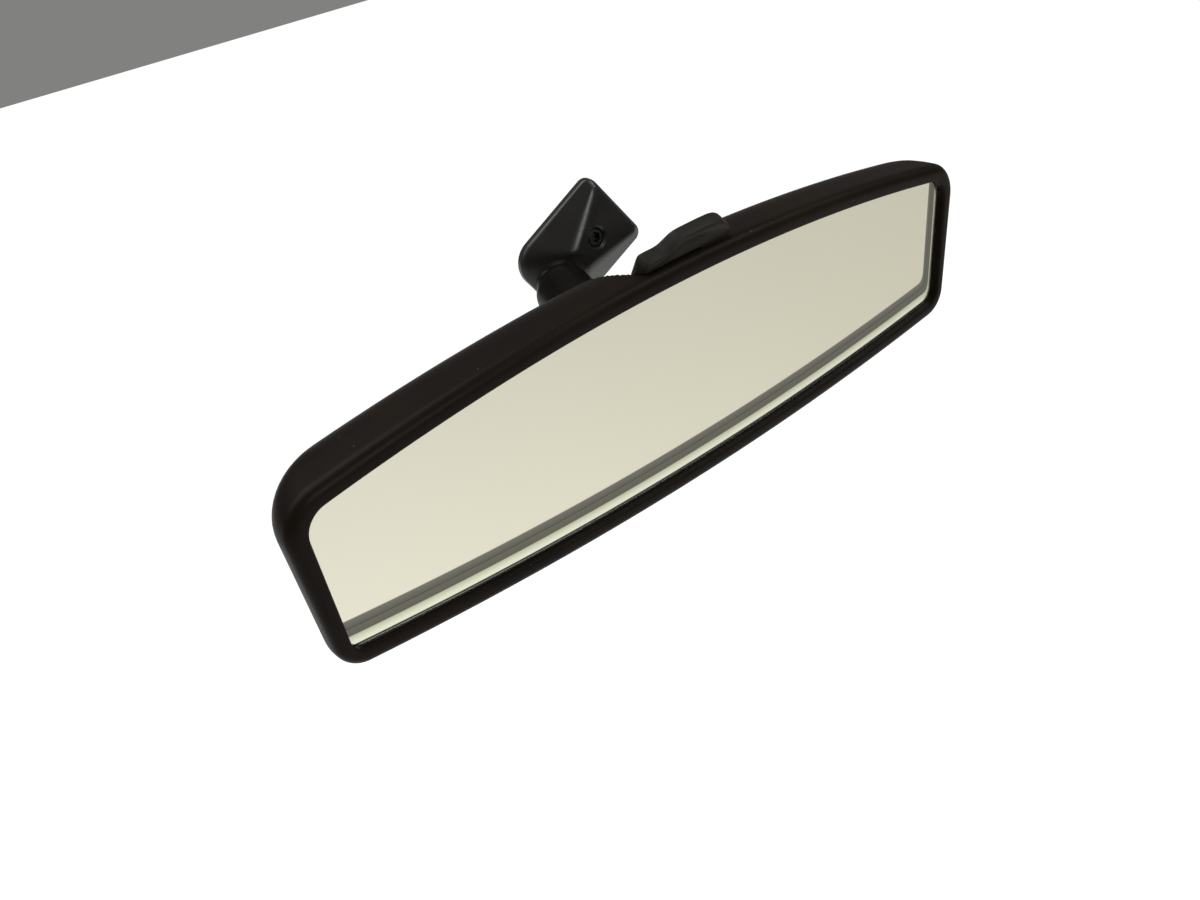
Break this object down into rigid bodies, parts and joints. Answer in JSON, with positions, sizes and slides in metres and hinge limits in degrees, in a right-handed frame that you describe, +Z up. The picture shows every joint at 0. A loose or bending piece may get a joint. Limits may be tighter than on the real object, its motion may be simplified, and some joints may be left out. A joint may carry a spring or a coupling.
{
  "type": "interior rearview mirror",
  "caption": "Day/night rearview mirror: prismatic glass in a black arched housing with a tilt lever, on a double-ball arm and a windscreen button foot.",
  "frame": {"origin": "middle of the windscreen button's channel, in the plane of the foot's pad face", "axes": "+X along the head (to the right seen from the driver's side), -Y towards the driver, +Z up, at the pose in use"},
  "size_m": [0.2527, 0.0899, 0.0779],
  "materials": {
    "cast_foot": "satin black powder coat on zinc",
    "black_screw": "black oxide",
    "ball_steel": "bright, lightly greased",
    "cup_nylon": "natural nylon",
    "arm_paint": "gloss black paint on steel",
    "seat_nylon": "black nylon",
    "spring_steel": "spring steel",
    "base_plastic": "black acetal",
    "pin_steel": "bright steel",
    "shell_plastic": "fine-grained black",
    "prism_glass": "clear, ground edge",
    "silver": "silvered back",
    "pad_foam": "soft foam",
    "carrier_plastic": "black",
    "screw_zinc": "zinc plated",
    "bumper_rubber": "matt",
    "lever_plastic": "satin black"
  },
  "bodies": {
    "mount": {"mount_foot": "cast_foot", "clamp_screw": "black_screw", "foot_ball_stud": "ball_steel"},
    "foot_cup": {"foot_ball_cup": "cup_nylon"},
    "arm": {"arm_tube": "arm_paint", "foot_spring_seat": "seat_nylon", "arm_spring": "spring_steel", "mirror_spring_seat": "seat_nylon"},
    "mirror_cup": {"mirror_ball_cup": "cup_nylon"},
    "mirror_stud": {"mirror_ball_stud": "ball_steel"},
    "toggle_plate": {"toggle_base": "base_plastic", "hinge_pin": "pin_steel"},
    "head": {"housing": "shell_plastic", "mirror_glass": "prism_glass", "silver_backing": "silver", "glass_pad": "pad_foam", "carrier_plate": "carrier_plastic", "carrier_screws": "screw_zinc", "bumper_pads": "bumper_rubber", "detent_springs": "spring_steel", "lever_pin": "pin_steel"},
    "lever": {"toggle_lever": "lever_plastic", "crank_pin": "pin_steel"}
  },
  "joints": [
    {"name": "foot_ball_yaw", "type": "hinge", "parent": "mount", "child": "foot_cup", "pos_m": [-0.02249, -0.01268, -0.01094], "axis": [0, 0, 1], "range_deg": [-15, 15]},
    {"name": "foot_ball_pitch", "type": "hinge", "parent": "foot_cup", "child": "arm", "pos_m": [-0.02249, -0.01268, -0.01094], "axis": [1, 0, 0], "range_deg": [-15, 15]},
    {"name": "mirror_ball_yaw", "type": "hinge", "parent": "arm", "child": "mirror_cup", "pos_m": [-0.03814, -0.05663, -0.01282], "axis": [0, 0, 1], "range_deg": [-35, 3]},
    {"name": "mirror_ball_pitch", "type": "hinge", "parent": "mirror_cup", "child": "mirror_stud", "pos_m": [-0.03814, -0.05663, -0.01282], "axis": [1, 0, 0], "range_deg": [-12, 15]},
    {"name": "mirror_roll", "type": "hinge", "parent": "mirror_stud", "child": "toggle_plate", "pos_m": [-0.03814, -0.05663, -0.01282], "axis": [0, 1, 0], "range_deg": [-15, 15]},
    {"name": "day_night_tilt", "type": "hinge", "parent": "toggle_plate", "child": "head", "pos_m": [-0.03814, -0.06864, -0.02682], "axis": [1, 0, 0], "range_deg": [-4, 0]},
    {"name": "lever_flip", "type": "hinge", "parent": "head", "child": "lever", "pos_m": [-0.03814, -0.07214, 0.01228], "axis": [1, 0, 0], "range_deg": [-32, 0]}
  ],
  "couplings": [
    {"joint": "lever_flip", "follows": "day_night_tilt", "ratio": 8}
  ]
}
